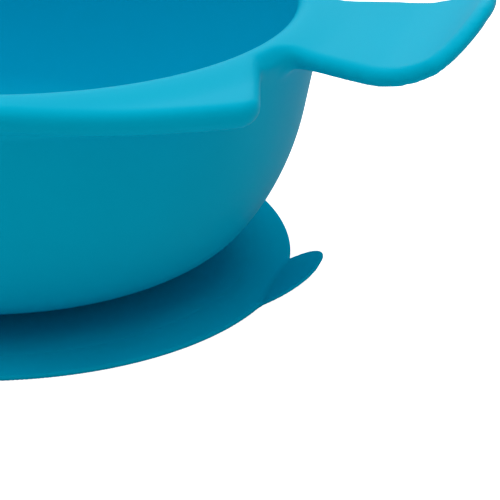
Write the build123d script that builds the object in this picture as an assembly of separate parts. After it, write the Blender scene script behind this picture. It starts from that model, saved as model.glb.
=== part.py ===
from build123d import *
import os

# A soft silicone feeding bowl for a small child, with two handles and a suction foot.
# Millimetres. +Z is up, +X runs along the two handles, and the origin is the middle of the
# sealing face that rests on the table.

# Cup
RIM_TOP = 48.3             # height of the rim's flat top face above the table
OPENING_RADIUS = 56.4      # radius of the mouth at the rim's top face
MOUTH_ROUND = 2.2          # round-over from the top face into the mouth
CUP_RADIUS = 58.5          # outside radius of the cup just under the rim
UNDERSIDE_Z = 4.8          # height of the cup's flat underside
UNDERSIDE_RADIUS = 36.85   # where the flat underside starts to turn up
CORNER_RADIUS = 14.7       # outside radius of the turn from underside to flank
CORNER_TURN = 56.7         # degrees that this turn goes through
FLANK_RADIUS = 46.7        # outside radius of the flank above it
FLANK_TURN = 23.8          # degrees that the flank goes through
FLOOR_THICKNESS = 3.0      # thickness of the cup's floor
INNER_FLOOR_RADIUS = 35.5  # where the flat floor starts to turn up
INNER_CORNER_RADIUS = 12.5
INNER_CORNER_TURN = 62

# Rim flange, seen from above
RIM_THICKNESS = 4.5
FLANGE_ARC_RADIUS = 97.7   # radius of the long front and back edges
FLANGE_REACH = 59.1        # distance from the axis to the middle of those edges
FLANGE_CORNER_X = 60.6     # the side edges run from here
FLANGE_CORNER_Y = 42.0
FLANGE_WAIST_X = 49.4      # and lean in to this at the middle of the cup
FLANGE_CORNER_ROUND = 3.0
RIM_EDGE_ROUND = 1.4       # round-over of the flange's top and bottom edges

# Handles
HANDLE_THICKNESS = 3.0
HANDLE_ROOT_X = 48.0       # each handle's flare starts inside the mouth
HANDLE_ROOT_HALF = 12.0    # half its width there
HANDLE_FULL_X = 77.5       # at its full width from here
HANDLE_WIDE_X = 80.7       # to here, where the tip starts
HANDLE_WIDE_HALF = 18.8    # half the full width
HANDLE_TIP_X = 86.3
CURL_START_X = 71.8        # flat up to here, then it curls upwards
CURL_RADIUS = 17.3         # radius of the curl, along the top face
CURL_TURN = 75             # degrees that the curl would reach past the tip

# Suction foot
SEAL_RADIUS = 54.9         # outer radius of the sealing lip
SEAL_INNER_RADIUS = 46.0   # where the lip meets the thin skirt
SEAL_THICKNESS = 1.3
SEAL_EDGE_ROUND = 0.45
NECK_RADIUS = 17.0         # the boss that joins the skirt to the cup
NECK_BOTTOM_Z = 2.9        # leaves the vacuum chamber below it
SKIRT_TOP_Z = 4.4          # top of the skirt at the neck

# Pull tab
TAB_HINGE_X = 53.9         # the tab bends along this line, which runs along Y
TAB_HINGE_Z = 0.85
TAB_BEAD_RADIUS = 0.8      # rounded root that sits in the lip
TAB_HALF_WIDTH = 9.8
TAB_LENGTH = 9.2           # from the bend line to the tip, along the tab
TAB_THICKNESS = 1.0
TAB_LIFT = 32              # degrees above the table at rest
TAB_CLEARANCE = 0.06       # all round the bead and at the ends of its seat


def cup():
    """The round cup, as one revolved wall with a rounded mouth."""
    underside = Line((0, UNDERSIDE_Z), (UNDERSIDE_RADIUS, UNDERSIDE_Z))
    corner = JernArc(underside @ 1, (1, 0), CORNER_RADIUS, CORNER_TURN)
    flank = JernArc(corner @ 1, corner % 1, FLANK_RADIUS, FLANK_TURN)
    wall = Line(flank @ 1, (CUP_RADIUS, RIM_TOP - RIM_THICKNESS))
    rim = Line(wall @ 1, (CUP_RADIUS, RIM_TOP))
    top = Line(rim @ 1, (OPENING_RADIUS, RIM_TOP))
    mouth = JernArc(top @ 1, (-1, 0), MOUTH_ROUND, 90)
    floor_z = UNDERSIDE_Z + FLOOR_THICKNESS
    floor = Line((0, floor_z), (INNER_FLOOR_RADIUS, floor_z))
    inner_corner = JernArc(floor @ 1, (1, 0), INNER_CORNER_RADIUS, INNER_CORNER_TURN)
    inner_wall = Spline(
        [inner_corner @ 1, mouth @ 1],
        tangents=[inner_corner % 1, (0, 1)],
    )
    axis = Line(underside @ 0, floor @ 0)
    lines = [underside, corner, flank, wall, rim, top, mouth, inner_wall, inner_corner, floor, axis]
    section = make_face(Curve() + lines)
    return revolve(Plane.XZ * section, Axis.Z)


def flange_outline():
    """The rim seen from above: a lens with two bowed edges, cut off by sides that lean in."""
    centre_y = FLANGE_ARC_RADIUS - FLANGE_REACH
    front = Pos(0, centre_y) * Circle(FLANGE_ARC_RADIUS)
    back = Pos(0, -centre_y) * Circle(FLANGE_ARC_RADIUS)
    corners = [
        (FLANGE_CORNER_X, -FLANGE_CORNER_Y),
        (FLANGE_WAIST_X, 0),
        (FLANGE_CORNER_X, FLANGE_CORNER_Y),
        (0, 2 * FLANGE_CORNER_Y),
        (-FLANGE_CORNER_X, FLANGE_CORNER_Y),
        (-FLANGE_WAIST_X, 0),
        (-FLANGE_CORNER_X, -FLANGE_CORNER_Y),
        (0, -2 * FLANGE_CORNER_Y),
    ]
    sides = make_face(Polyline(*corners, close=True))
    lens = front & back & sides
    far_corners = [v for v in lens.vertices() if abs(v.Y) > FLANGE_CORNER_Y / 2]
    return fillet(far_corners, FLANGE_CORNER_ROUND)


def flange():
    """The rim flange, a flat plate with rounded edges around the cup's mouth."""
    plate = Pos(0, 0, RIM_TOP - RIM_THICKNESS) * extrude(flange_outline(), RIM_THICKNESS)
    faces = plate.faces().sort_by(Axis.Z)
    rounded = fillet(faces[-1].edges() + faces[0].edges(), RIM_EDGE_ROUND)
    inside = Pos(0, 0, RIM_TOP) * Cylinder(CUP_RADIUS - 1, 4 * RIM_THICKNESS)
    return rounded - inside


def handle_outline():
    """One handle seen from above: it flares from the rim into a wide paddle with a blunt tip."""
    flares = [
        Spline(
            [(HANDLE_ROOT_X, side * HANDLE_ROOT_HALF), (HANDLE_FULL_X, side * HANDLE_WIDE_HALF)],
            tangents=[(1, 0), (1, 0)],
        )
        for side in (-1, 1)
    ]
    sides = [Line(flare @ 1, (HANDLE_WIDE_X, (flare @ 1).Y)) for flare in flares]
    root = Line((HANDLE_ROOT_X, -HANDLE_ROOT_HALF), (HANDLE_ROOT_X, HANDLE_ROOT_HALF))
    tip = EllipticalCenterArc(
        (HANDLE_WIDE_X, 0),
        HANDLE_TIP_X - HANDLE_WIDE_X,
        HANDLE_WIDE_HALF,
        start_angle=-90,
        arc_size=180,
    )
    return make_face(Curve() + flares + sides + [root, tip])


def handle():
    """The +X handle: a plate that lies flat at the rim and curls up towards its tip."""
    top = Line((HANDLE_ROOT_X, RIM_TOP), (CURL_START_X, RIM_TOP))
    top_curl = JernArc(top @ 1, (1, 0), CURL_RADIUS, CURL_TURN)
    bottom_z = RIM_TOP - HANDLE_THICKNESS
    bottom = Line((HANDLE_ROOT_X, bottom_z), (CURL_START_X, bottom_z))
    bottom_curl = JernArc(bottom @ 1, (1, 0), CURL_RADIUS + HANDLE_THICKNESS, CURL_TURN)
    ends = [Line(top @ 0, bottom @ 0), Line(top_curl @ 1, bottom_curl @ 1)]
    section = make_face(Curve() + [top, top_curl, bottom, bottom_curl] + ends)
    strip = extrude(Plane.XZ * section, 2 * HANDLE_WIDE_HALF, both=True)
    column = Pos(0, 0, RIM_TOP - RIM_THICKNESS) * extrude(handle_outline(), 10 * HANDLE_THICKNESS)
    mouth = Pos(0, 0, RIM_TOP) * Cylinder(OPENING_RADIUS + 0.6, 4 * RIM_THICKNESS)
    return (strip & column) - mouth


def bowl_shell():
    """Cup, flange and both handles, moulded as one piece of silicone."""
    grip = handle()
    return cup() + flange() + grip + Rot(0, 0, 180) * grip


def neck_boss():
    """The solid boss under the cup that carries the suction skirt."""
    height = UNDERSIDE_Z - NECK_BOTTOM_Z
    return Pos(0, 0, NECK_BOTTOM_Z + height / 2) * Cylinder(NECK_RADIUS, height)


def suction_skirt():
    """The thin cone of silicone between the neck and the sealing lip, open underneath."""
    section = Polyline(
        (NECK_RADIUS, NECK_BOTTOM_Z),
        (NECK_RADIUS, SKIRT_TOP_Z),
        (SEAL_INNER_RADIUS, SEAL_THICKNESS),
        (SEAL_INNER_RADIUS, 0),
        close=True,
    )
    return revolve(Plane.XZ * make_face(section), Axis.Z)


def tab_seat():
    """The space in the lip that the pull tab's root turns in."""
    radius = TAB_BEAD_RADIUS + TAB_CLEARANCE
    length = 2 * (TAB_HALF_WIDTH + TAB_CLEARANCE)
    groove = Pos(TAB_HINGE_X, 0, TAB_HINGE_Z) * Rot(90, 0, 0) * Cylinder(radius, length)
    outer = SEAL_RADIUS + 1 - TAB_HINGE_X
    gap = Pos(TAB_HINGE_X + outer / 2, 0, SEAL_THICKNESS / 2) * Box(outer, length, 2 * SEAL_THICKNESS)
    return groove + gap


def sealing_lip():
    """The flat outer ring of the suction foot, which lies on the table."""
    ring = Cylinder(SEAL_RADIUS, SEAL_THICKNESS) - Cylinder(SEAL_INNER_RADIUS, SEAL_THICKNESS)
    ring = Pos(0, 0, SEAL_THICKNESS / 2) * ring
    outer_edges = ring.edges().filter_by(GeomType.CIRCLE).sort_by(SortBy.RADIUS)[-2:]
    return fillet(outer_edges, SEAL_EDGE_ROUND) - tab_seat()


def pull_tab():
    """The leaf that is lifted to let air in, with the rounded root that it bends about."""
    curved_edge = EllipticalCenterArc((0, 0), TAB_LENGTH, TAB_HALF_WIDTH, start_angle=-90, arc_size=180)
    root_edge = Line((0, -TAB_HALF_WIDTH), (0, TAB_HALF_WIDTH))
    leaf = make_face(Curve() + [curved_edge, root_edge])
    plate = Pos(0, 0, -TAB_THICKNESS / 2) * extrude(leaf, TAB_THICKNESS)
    bead = Rot(90, 0, 0) * Cylinder(TAB_BEAD_RADIUS, 2 * TAB_HALF_WIDTH)
    return Pos(TAB_HINGE_X, 0, TAB_HINGE_Z) * Rot(0, -TAB_LIFT, 0) * (plate + bead)


NODES = {
    "bowl_shell": bowl_shell,
    "neck_boss": neck_boss,
    "suction_skirt": suction_skirt,
    "sealing_lip": sealing_lip,
    "pull_tab": pull_tab,
}

os.makedirs("parts", exist_ok=True)
for name, build in NODES.items():
    export_step(build(), f"parts/{name}.step")
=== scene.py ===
"""A soft silicone feeding bowl with two curled handles, standing on its suction foot."""

import math

import bpy
import numpy as np
from mathutils import Matrix, Vector


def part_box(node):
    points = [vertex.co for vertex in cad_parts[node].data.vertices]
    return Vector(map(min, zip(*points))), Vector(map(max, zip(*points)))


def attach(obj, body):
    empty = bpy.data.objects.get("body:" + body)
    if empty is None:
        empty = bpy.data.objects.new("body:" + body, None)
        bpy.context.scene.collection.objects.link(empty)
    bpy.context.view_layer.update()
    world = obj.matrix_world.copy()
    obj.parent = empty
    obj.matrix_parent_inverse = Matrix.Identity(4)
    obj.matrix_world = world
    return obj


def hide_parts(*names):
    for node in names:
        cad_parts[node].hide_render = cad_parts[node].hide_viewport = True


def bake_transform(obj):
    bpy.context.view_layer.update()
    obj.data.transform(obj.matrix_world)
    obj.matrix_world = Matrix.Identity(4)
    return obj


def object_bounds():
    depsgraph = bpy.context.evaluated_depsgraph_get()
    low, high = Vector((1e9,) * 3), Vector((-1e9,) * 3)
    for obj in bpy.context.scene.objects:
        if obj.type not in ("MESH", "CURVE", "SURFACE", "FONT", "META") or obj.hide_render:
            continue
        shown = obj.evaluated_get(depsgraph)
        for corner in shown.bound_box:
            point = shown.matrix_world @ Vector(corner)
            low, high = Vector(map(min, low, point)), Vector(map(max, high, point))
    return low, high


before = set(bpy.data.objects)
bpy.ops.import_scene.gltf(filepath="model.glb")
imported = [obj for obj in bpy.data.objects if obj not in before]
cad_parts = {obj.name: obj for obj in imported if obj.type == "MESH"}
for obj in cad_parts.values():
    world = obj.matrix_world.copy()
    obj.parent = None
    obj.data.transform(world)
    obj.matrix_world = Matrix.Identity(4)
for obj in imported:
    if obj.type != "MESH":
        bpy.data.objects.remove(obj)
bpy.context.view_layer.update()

MM = 0.001  # the shapes below are worked out in millimetres

# Cup
RIM_TOP = 48.3
OPENING_RADIUS = 56.3
MOUTH_ROUND = 2.2
CUP_RADIUS = 58.5
UNDERSIDE_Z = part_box("bowl_shell")[0].z / MM
UNDERSIDE_RADIUS = 36.85
CORNER_RADIUS, CORNER_TURN = 14.7, 56.7
FLANK_RADIUS, FLANK_TURN = 46.7, 23.8
FLOOR_THICKNESS = 3.0
INNER_FLOOR_RADIUS = 35.5
INNER_CORNER_RADIUS, INNER_CORNER_TURN = 12.5, 62
SHOULDER_DROP = 2.0  # the cup's solid ends this far under the rim's top face
MOUTH_OVAL = 1.01  # the mouth is this much narrower from front to back
OVAL_START_Z = 15.0  # the cavity is round up to here
MOUTH_RISE, RISE_END_RADIUS = 0.7, 64.0  # the top face rises a little towards the mouth

# Rim flange
RIM_THICKNESS = 4.5
FLANGE_ARC_RADIUS = 97.7
FLANGE_REACH = 59.3
FLANGE_WAIST_X = 49.4
FLANGE_LEAN = 4 / 15  # sideways run of the side edges for each millimetre from the middle
FLANGE_CORNER_ROUND = 3.0
RIM_TOP_ROUND = 1.8
RIM_BOTTOM_ROUND = 2.6
HANDLE_BOTTOM_ROUND = 1.2
UNDERCUT_FILLET = 2.0

# Handles
HANDLE_THICKNESS = 3.0
TIP_THICKNESS = 2.7
THIN_TIP_START_X = 74.0
HANDLE_ROOT_X, HANDLE_ROOT_HALF = 48.0, 12.0
HANDLE_FULL_X = 77.5  # the handle is at its full width from here to HANDLE_WIDE_X
HANDLE_WIDE_X, HANDLE_WIDE_HALF = 80.7, 18.8
HANDLE_TIP_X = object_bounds()[1][0] / MM
TIP_SQUARENESS = 1.82
NOTCH_ROUND = 3.5
CURL_START_X = 71.8
CURL_RADIUS = 17.3
THINNING_START_X, THINNING_END_X = 56.0, 63.0

# Suction foot
SEAL_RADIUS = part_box("sealing_lip")[1].y / MM
SEAL_THICKNESS = 1.3
SEAL_INNER_RADIUS = 46.0
SEAL_EDGE_ROUND = 0.45
SKIRT_MEETS_LIP = 48.0
NECK_RADIUS = 17.0
NECK_BOTTOM_Z = 2.9
SKIRT_TOP_Z = 4.4

# Pull tab
TAB_HINGE_X, TAB_ROOT_Z = 53.9, 0.55
TAB_HALF_WIDTH = 9.8
TAB_MIDDLE_Y = -0.35
TAB_LENGTH = 9.2
TAB_THICKNESS = 1.0
TAB_THINNING = 0.45  # how much of the thickness is gone at the tab's edge
TAB_EDGE_ROUND = 0.25
TAB_ROOT_DEPTH = 0.5
TAB_FILLET = 0.4
TAB_LIFT = 32
TAB_SQUARENESS = 2.4

# Spacing of the grids that the meshes are made on
BOWL_CELL = 0.82
LIP_CELL = 0.33
SKIRT_STEPS = 256  # round the skirt

# Material
BLUE = (0.0, 0.43, 0.67)
SATIN = 0.42
BOWL_SHINE, FOOT_SHINE = 0.02, 0.0  # the foot shows no highlight at all

# Camera and lights
CAMERA_PLACE = (0.1495, -0.3967, 0.1903)
CAMERA_TURNS = (-14.19, 24.27, 2.37)  # turn from +Y towards +X, tilt down, roll, in degrees
CAMERA_LENS = 187.2
FLOOR_SIZE = 6.0
ROOM_LIGHT = 0.257
ROOM_COLOUR = (1.0, 1.0, 1.0)


# ---------------------------------------------------------------- shapes as fields

def round_max(a, b, radius):
    """The overlap of two solids given as distances, with its convex edge rounded."""
    corner = np.hypot(np.maximum(a + radius, 0), np.maximum(b + radius, 0))
    return corner + np.minimum(np.maximum(a, b) + radius, 0) - radius


def round_min(a, b, radius):
    """The union of two solids given as distances, with a fillet in its hollow edge."""
    return -round_max(-a, -b, radius)


def smooth_step(value, start, end):
    t = np.clip((value - start) / (end - start), 0, 1)
    return t * t * (3 - 2 * t)


def polygon_distance(points, u, v):
    """Signed distance from (u, v) to a closed outline, negative inside it."""
    nearest = np.full(np.shape(u), np.inf)
    inside = np.zeros(np.shape(u), bool)
    for (a_u, a_v), (b_u, b_v) in zip(points, np.roll(points, -1, axis=0)):
        edge_u, edge_v = b_u - a_u, b_v - a_v
        length_2 = max(edge_u**2 + edge_v**2, 1e-12)
        t = np.clip(((u - a_u) * edge_u + (v - a_v) * edge_v) / length_2, 0, 1)
        gap = (u - a_u - t * edge_u) ** 2 + (v - a_v - t * edge_v) ** 2
        nearest = np.minimum(nearest, gap)
        if a_v != b_v:
            spans = (a_v > v) != (b_v > v)
            inside ^= spans & (u < (v - a_v) * edge_u / edge_v + a_u)
    return np.where(inside, -1, 1) * np.sqrt(nearest)


class Outline:
    """A closed flat outline whose signed distance is looked up in a fine table."""

    def __init__(self, points, step=0.2, margin=6.0):
        points = np.array(points, float)
        self.step = step
        self.low = points.min(0) - margin
        size = points.max(0) + margin - self.low
        counts = np.ceil(size / step).astype(int) + 1
        u = self.low[0] + step * np.arange(counts[0])
        v = self.low[1] + step * np.arange(counts[1])
        self.table = polygon_distance(points, *np.meshgrid(u, v, indexing="ij"))

    def __call__(self, u, v):
        last = np.array(self.table.shape) - 1.001
        at_u = np.clip((u - self.low[0]) / self.step, 0, last[0])
        at_v = np.clip((v - self.low[1]) / self.step, 0, last[1])
        i, j = at_u.astype(int), at_v.astype(int)
        f, g = at_u - i, at_v - j
        near = self.table[i, j] * (1 - f) + self.table[i + 1, j] * f
        far = self.table[i, j + 1] * (1 - f) + self.table[i + 1, j + 1] * f
        return near * (1 - g) + far * g


class Pen:
    """Draws an outline as straight runs and tangent arcs, turning left."""

    def __init__(self, u, v, heading=0.0):
        self.points = [(u, v)]
        self.heading = math.radians(heading)

    def line_to(self, u, v):
        self.points.append((u, v))
        return self

    def arc(self, radius, turn, steps=24):
        u, v = self.points[-1]
        centre = (u - radius * math.sin(self.heading), v + radius * math.cos(self.heading))
        for i in range(1, steps + 1):
            angle = self.heading + math.radians(turn) * i / steps
            self.points.append(
                (centre[0] + radius * math.sin(angle), centre[1] - radius * math.cos(angle))
            )
        self.heading += math.radians(turn)
        return self

    def curve_to(self, u, v, end_heading, steps=32):
        """A smooth curve that leaves along the heading and arrives along end_heading."""
        start = np.array(self.points[-1])
        end = np.array((u, v))
        reach = np.linalg.norm(end - start) / 3
        end_heading = math.radians(end_heading)
        leave = start + reach * np.array((math.cos(self.heading), math.sin(self.heading)))
        arrive = end - reach * np.array((math.cos(end_heading), math.sin(end_heading)))
        for t in np.linspace(0, 1, steps + 1)[1:]:
            s = 1 - t
            point = s**3 * start + 3 * s * s * t * leave + 3 * s * t * t * arrive + t**3 * end
            self.points.append(tuple(point))
        self.heading = end_heading
        return self


def cup_outline():
    """Half section of the cup's outside, filled to its axis and a little past it."""
    top = RIM_TOP - SHOULDER_DROP
    pen = Pen(-10, UNDERSIDE_Z).line_to(UNDERSIDE_RADIUS, UNDERSIDE_Z)
    pen.arc(CORNER_RADIUS, CORNER_TURN).arc(FLANK_RADIUS, FLANK_TURN)
    pen.line_to(CUP_RADIUS, RIM_TOP - RIM_THICKNESS).line_to(CUP_RADIUS, top)
    return pen.line_to(-10, top).points


def cavity_outline():
    """Half section of the space inside the cup, run on above the rim."""
    floor = UNDERSIDE_Z + FLOOR_THICKNESS
    wall = OPENING_RADIUS - MOUTH_ROUND
    pen = Pen(-10, floor).line_to(INNER_FLOOR_RADIUS, floor)
    pen.arc(INNER_CORNER_RADIUS, INNER_CORNER_TURN)
    pen.curve_to(wall, RIM_TOP - MOUTH_ROUND, 90)
    return pen.line_to(wall, RIM_TOP + 8).line_to(-10, RIM_TOP + 8).points


def paddle_outline():
    """A handle laid flat: distance out along its top face, and distance from its middle line."""
    out = np.linspace(HANDLE_ROOT_X, HANDLE_WIDE_X, 40)
    half = HANDLE_ROOT_HALF + (HANDLE_WIDE_HALF - HANDLE_ROOT_HALF) * smooth_step(
        out, HANDLE_ROOT_X, HANDLE_FULL_X
    )
    turn = np.linspace(0, math.pi / 2, 40)[1:]
    tip = HANDLE_TIP_X - HANDLE_WIDE_X
    out = np.append(out, HANDLE_WIDE_X + tip * np.sin(turn) ** (2 / TIP_SQUARENESS))
    half = np.append(half, HANDLE_WIDE_HALF * np.abs(np.cos(turn)) ** (2 / TIP_SQUARENESS))
    past = np.clip((out - CURL_START_X) / CURL_RADIUS, 0, 1)
    flat = np.where(out < CURL_START_X, out, CURL_START_X + CURL_RADIUS * np.arcsin(past))
    upper = np.c_[flat, half]
    return np.vstack([upper, (upper * (1, -1))[::-1]])


CUP = Outline(cup_outline())
CAVITY = Outline(cavity_outline())
PADDLE = Outline(paddle_outline())


def along_plate(x, z):
    """Distance out along the rim plate's top face, and height above it. Past the start of the
    curl the plate bends up round a circle."""
    past = x - CURL_START_X
    below_centre = RIM_TOP + CURL_RADIUS - z
    out = np.where(past < 0, x, CURL_START_X + CURL_RADIUS * np.arctan2(past, below_centre))
    above = np.where(past < 0, z - RIM_TOP, CURL_RADIUS - np.hypot(past, below_centre))
    return out, above


def flange_edge(x, y):
    """The rim seen from above: two bowed edges, cut off by sides that lean in."""
    centre = FLANGE_ARC_RADIUS - FLANGE_REACH
    bow = np.hypot(x, np.abs(y) + centre) - FLANGE_ARC_RADIUS
    side = (x - FLANGE_WAIST_X - FLANGE_LEAN * np.abs(y)) / math.hypot(1, FLANGE_LEAN)
    return round_max(bow, side, FLANGE_CORNER_ROUND)


def rim_plate(x, y, z):
    """The flange and both handles, one plate that thins out towards the handles."""
    x, r = np.abs(x), np.hypot(x, y)
    out, above = along_plate(x, z)
    above = above - MOUTH_RISE * smooth_step(-r, -RISE_END_RADIUS, -OPENING_RADIUS)
    round_rim = r - CUP_RADIUS
    edge = np.minimum(flange_edge(x, y), round_rim)
    edge = round_min(edge, PADDLE(out, y), NOTCH_ROUND)
    thinning = smooth_step(x, THINNING_START_X, THINNING_END_X)
    thickness = RIM_THICKNESS + (HANDLE_THICKNESS - RIM_THICKNESS) * thinning
    thickness -= (HANDLE_THICKNESS - TIP_THICKNESS) * smooth_step(x, THIN_TIP_START_X, HANDLE_TIP_X)
    plate = round_max(edge, above, RIM_TOP_ROUND)
    bottom_round = RIM_BOTTOM_ROUND + (HANDLE_BOTTOM_ROUND - RIM_BOTTOM_ROUND) * thinning
    return round_max(plate, -above - thickness, bottom_round)


def bowl_field(x, y, z):
    r = np.hypot(x, y)
    solid = round_min(CUP(r, z), rim_plate(x, y, z), UNDERCUT_FILLET)
    squeeze = 1 + (MOUTH_OVAL - 1) * smooth_step(z, OVAL_START_Z, RIM_TOP)
    return round_max(solid, -CAVITY(np.hypot(x, y * squeeze), z), MOUTH_ROUND)


def skirt_outline():
    """Half section of the suction foot's thin cone. Its edge ends inside the lip, which it
    meets almost level."""
    pen = Pen(NECK_RADIUS, NECK_BOTTOM_Z).line_to(SEAL_INNER_RADIUS, 0.05)
    pen.line_to(SKIRT_MEETS_LIP + 2, 0.7).line_to(SKIRT_MEETS_LIP, lip_top(SKIRT_MEETS_LIP))
    pen.heading = math.radians(176)
    return pen.curve_to(NECK_RADIUS, SKIRT_TOP_Z, 171).points


def lip_top(r):
    """Height of the lip's top face, which falls gently to its edge."""
    t = (r - SEAL_INNER_RADIUS) / (SEAL_RADIUS - SEAL_EDGE_ROUND - SEAL_INNER_RADIUS)
    return SEAL_THICKNESS + (2 * SEAL_EDGE_ROUND - SEAL_THICKNESS) * t


def lip_outline():
    """Half section of the flat sealing lip that rests on the table."""
    inner = SEAL_INNER_RADIUS - 1
    pen = Pen(inner, 0).line_to(SEAL_RADIUS - SEAL_EDGE_ROUND, 0)
    pen.arc(SEAL_EDGE_ROUND, 180, 12)
    return pen.line_to(SEAL_INNER_RADIUS, SEAL_THICKNESS).line_to(inner, 0.8).points


LIP = Outline(lip_outline(), 0.1)


def tab_field(x, y, z):
    """The pull tab: a thin rounded leaf that rises from the edge of the lip."""
    lift = math.radians(TAB_LIFT)
    dx, dz = x - TAB_HINGE_X, z - TAB_ROOT_Z
    out = dx * math.cos(lift) + dz * math.sin(lift)
    above = dz * math.cos(lift) - dx * math.sin(lift)
    along = np.maximum(out, 0) / TAB_LENGTH
    across = np.abs(y - TAB_MIDDLE_Y) / TAB_HALF_WIDTH
    size = (along**TAB_SQUARENESS + across**TAB_SQUARENESS) ** (1 / TAB_SQUARENESS)
    half = TAB_THICKNESS / 2 * (1 - TAB_THINNING * np.minimum(size, 1) ** 2)
    leaf = round_max((size - 1) * TAB_LENGTH, np.abs(above) - half, TAB_EDGE_ROUND)
    return np.maximum(leaf, -out - TAB_ROOT_DEPTH)


def lip_and_tab_field(x, y, z):
    joined = round_min(LIP(np.hypot(x, y), z), tab_field(x, y, z), TAB_FILLET)
    return np.maximum(joined, -z)


# ---------------------------------------------------------------- meshes from fields

def sample_field(field, low, high, cell):
    low, high = np.array(low, float), np.array(high, float)
    counts = np.ceil((high - low) / cell).astype(int) + 1
    axes = [low[i] + cell * np.arange(counts[i]) for i in range(3)]
    slabs = []
    for x in axes[0]:
        y, z = np.meshgrid(axes[1], axes[2], indexing="ij")
        slabs.append(field(np.full_like(y, x), y, z))
    return low, np.array(slabs)


CORNERS = [(i, j, k) for i in (0, 1) for j in (0, 1) for k in (0, 1)]
EDGES = [(a, b) for a in CORNERS for b in CORNERS if a < b and sum(np.subtract(b, a)) == 1]


def cell_points(values):
    """For each cell that the surface passes through, the mean of its edge crossings."""
    cells = tuple(n - 1 for n in values.shape)

    def at(corner):
        return values[tuple(slice(c, c + n) for c, n in zip(corner, cells))]

    total = np.zeros(cells + (3,), np.float32)
    count = np.zeros(cells, np.float32)
    for a, b in EDGES:
        value_a, value_b = at(a), at(b)
        crossed = (value_a < 0) != (value_b < 0)
        t = np.where(crossed, value_a / np.where(crossed, value_a - value_b, 1), 0)
        for axis in range(3):
            place = a[axis] + t * (b[axis] - a[axis])
            total[..., axis] += np.where(crossed, place, 0)
        count += crossed
    used = count > 0
    index = np.full(cells, -1)
    index[used] = np.arange(used.sum())
    points = total[used] / count[used][:, None] + np.argwhere(used)
    return points, index


def cell_quads(values, index):
    """One quad for each grid edge that the surface crosses, facing outwards."""
    quads = []
    for axis in range(3):
        first, second = (axis + 1) % 3, (axis + 2) % 3
        near = np.moveaxis(values, (axis, first, second), (0, 1, 2))
        cell = np.moveaxis(index, (axis, first, second), (0, 1, 2))
        inside = near < 0
        crossed = inside[:-1, 1:-1, 1:-1] != inside[1:, 1:-1, 1:-1]
        i, j, k = np.nonzero(crossed)
        ring = np.stack(
            [cell[i, j, k], cell[i, j + 1, k], cell[i, j + 1, k + 1], cell[i, j, k + 1]], axis=1
        )
        outwards = inside[i, j + 1, k + 1]
        quads.append(np.where(outwards[:, None], ring, ring[:, ::-1]))
    return np.vstack(quads)


def settle(field, points, cell, rounds=4):
    """Moves each point along the field's slope until it lies on the surface."""
    small = 0.05
    for _ in range(rounds):
        slope = np.stack(
            [
                (field(*(points + step).T) - field(*(points - step).T)) / (2 * small)
                for step in np.eye(3) * small
            ],
            axis=1,
        )
        steep = np.maximum((slope**2).sum(1), 0.05)
        move = field(*points.T) / steep
        points = points - np.clip(move, -cell, cell)[:, None] * slope
    return points


def smooth_piece(name, points, faces):
    """A smooth-shaded object from points in millimetres."""
    mesh = bpy.data.meshes.new(name)
    mesh.from_pydata((points * MM).tolist(), [], faces)
    mesh.polygons.foreach_set("use_smooth", np.ones(len(mesh.polygons), bool))
    piece = bpy.data.objects.new(name, mesh)
    bpy.context.scene.collection.objects.link(piece)
    return piece


def mesh_from_field(name, field, low, high, cell):
    low, values = sample_field(field, low, high, cell)
    points, index = cell_points(values)
    points = settle(field, low + points * cell, cell)
    return smooth_piece(name, points, cell_quads(values, index).tolist())


def ring_mesh(name, outline, steps):
    """A closed ring, the outline turned round the Z axis."""
    outline = np.array(outline)
    count = len(outline)
    points = []
    for turn in np.linspace(0, 2 * math.pi, steps, endpoint=False):
        points += [(r * math.cos(turn), r * math.sin(turn), z) for r, z in outline]
    faces = []
    for i in range(steps):
        here, there = i * count, (i + 1) % steps * count
        for j in range(count):
            k = (j + 1) % count
            faces.append((here + j, there + j, there + k, here + k))
    return smooth_piece(name, np.array(points), faces)


# ---------------------------------------------------------------- materials

def silicone(name, colour, roughness, shine):
    material = bpy.data.materials.new(name)
    material.use_nodes = True
    nodes, links = material.node_tree.nodes, material.node_tree.links
    shader = nodes["Principled BSDF"]
    shader.inputs["Base Color"].default_value = (*colour, 1)
    shader.inputs["Roughness"].default_value = roughness
    shader.inputs["IOR"].default_value = 1.42
    shader.inputs["Specular IOR Level"].default_value = shine
    shader.inputs["Specular Tint"].default_value = (0.1, 0.9, 1.0, 1)
    place = nodes.new("ShaderNodeTexCoord")
    cloud = nodes.new("ShaderNodeTexNoise")
    cloud.inputs["Scale"].default_value = 40
    cloud.inputs["Detail"].default_value = 3
    grain = nodes.new("ShaderNodeTexNoise")
    grain.inputs["Scale"].default_value = 2200
    bump = nodes.new("ShaderNodeBump")
    bump.inputs["Strength"].default_value = 0.05
    bump.inputs["Distance"].default_value = 0.0001
    tint = nodes.new("ShaderNodeMix")
    tint.data_type = "RGBA"
    tint.inputs["A"].default_value = (*(c * 0.97 for c in colour), 1)
    tint.inputs["B"].default_value = (*(min(c * 1.03, 1) for c in colour), 1)
    links.new(place.outputs["Object"], cloud.inputs["Vector"])
    links.new(place.outputs["Object"], grain.inputs["Vector"])
    links.new(cloud.outputs["Fac"], tint.inputs["Factor"])
    links.new(tint.outputs["Result"], shader.inputs["Base Color"])
    links.new(grain.outputs["Fac"], bump.inputs["Height"])
    links.new(bump.outputs["Normal"], shader.inputs["Normal"])
    return material


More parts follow.
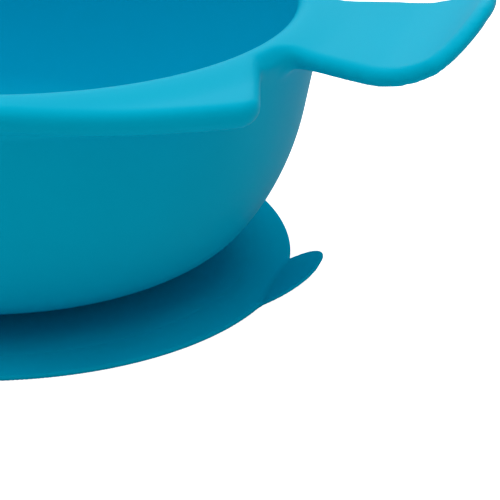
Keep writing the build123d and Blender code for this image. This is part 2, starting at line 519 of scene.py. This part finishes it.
def build():
    bowl = mesh_from_field("bowl_body", bowl_field, (-90, -63, 2), (90, 63, 59), BOWL_CELL)
    bowl.data.materials.append(silicone("bowl_silicone", BLUE, SATIN, BOWL_SHINE))
    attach(bowl, "bowl")
    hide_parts("bowl_shell")

    foot_silicone = silicone("foot_silicone", BLUE, SATIN, FOOT_SHINE)
    skirt = ring_mesh("foot_skirt", skirt_outline(), SKIRT_STEPS)
    skirt.data.materials.append(foot_silicone)
    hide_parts("suction_skirt")
    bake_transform(skirt)

    lip = mesh_from_field("lip_and_tab", lip_and_tab_field, (-57, -57, -1), (66, 57, 8), LIP_CELL)
    lip.data.materials.append(foot_silicone)
    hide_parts("sealing_lip", "pull_tab")
    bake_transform(lip)

    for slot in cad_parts["neck_boss"].material_slots:
        slot.material = foot_silicone


def camera():
    """Looks down at the bowl's right front side, from the photographer's place."""
    yaw, pitch, roll = (math.radians(angle) for angle in CAMERA_TURNS)
    ahead = Vector((math.sin(yaw), math.cos(yaw), 0)) * math.cos(pitch)
    ahead.z = -math.sin(pitch)
    level_right = Vector((math.cos(yaw), -math.sin(yaw), 0))
    level_up = level_right.cross(ahead)
    right = math.cos(roll) * level_right + math.sin(roll) * level_up
    place = Matrix((right, right.cross(ahead), -ahead)).transposed().to_4x4()
    place.translation = CAMERA_PLACE
    data = bpy.data.cameras.new("camera")
    data.sensor_width = 36
    data.lens = CAMERA_LENS
    data.clip_start = 0.01
    eye = bpy.data.objects.new("camera", data)
    eye.matrix_world = place
    bpy.context.scene.collection.objects.link(eye)
    bpy.context.scene.camera = eye


def softbox(name, place, size, watts, colour):
    """A square soft light that faces the bowl."""
    data = bpy.data.lights.new(name, "AREA")
    data.shape = "SQUARE"
    data.size = size
    data.energy = watts
    data.color = colour
    lamp = bpy.data.objects.new(name, data)
    lamp.location = place
    lamp.rotation_euler = (-Vector(place)).to_track_quat("-Z", "Y").to_euler()
    bpy.context.scene.collection.objects.link(lamp)


def floor_plane(name, white, glow):
    half = FLOOR_SIZE / 2
    mesh = bpy.data.meshes.new(name)
    corners = [(-half, -half, 0), (half, -half, 0), (half, half, 0), (-half, half, 0)]
    mesh.from_pydata(corners, [], [(0, 1, 2, 3)])
    material = bpy.data.materials.new(name)
    material.use_nodes = True
    shader = material.node_tree.nodes["Principled BSDF"]
    shader.inputs["Base Color"].default_value = (white, white, white, 1)
    shader.inputs["Roughness"].default_value = 0.9
    shader.inputs["Emission Color"].default_value = (1, 1, 1, 1)
    shader.inputs["Emission Strength"].default_value = glow
    mesh.materials.append(material)
    floor = bpy.data.objects.new(name, mesh)
    bpy.context.scene.collection.objects.link(floor)
    floor.visible_shadow = False
    return floor


def studio():
    """A white floor and soft lights. The floor that is seen glows, as a light table does; the
    floor that lights the bowl doesn't."""
    seen = floor_plane("floor", 0.85, 0.95)
    seen.visible_diffuse = False
    seen.visible_glossy = False
    bounce = floor_plane("floor_bounce", 0.75, 0)
    bounce.visible_camera = False
    softbox("softbox_top", (0.0, 0.1, 1.1), 1.2, 9.4, (1.0, 1.0, 0.93))
    softbox("softbox_left", (-0.9, 0.0, 0.55), 0.8, 2.1, (1.0, 1.0, 0.9))
    softbox("softbox_back", (-0.3, 1.1, 0.55), 0.8, 3.0, (1.0, 1.0, 0.9))
    softbox("softbox_front", (0.1, -0.6, 1.0), 0.5, 1.1, (1.0, 0.97, 0.9))
    softbox("softbox_right", (0.6, -0.7, 0.35), 0.5, 0.4, (1.0, 1.0, 1.0))
    world = bpy.data.worlds.new("white_room")
    world.use_nodes = True
    background = world.node_tree.nodes["Background"]
    background.inputs["Color"].default_value = (*ROOM_COLOUR, 1)
    background.inputs["Strength"].default_value = ROOM_LIGHT
    bpy.context.scene.world = world
    bpy.context.scene.view_settings.view_transform = "Standard"


build()
camera()
studio()
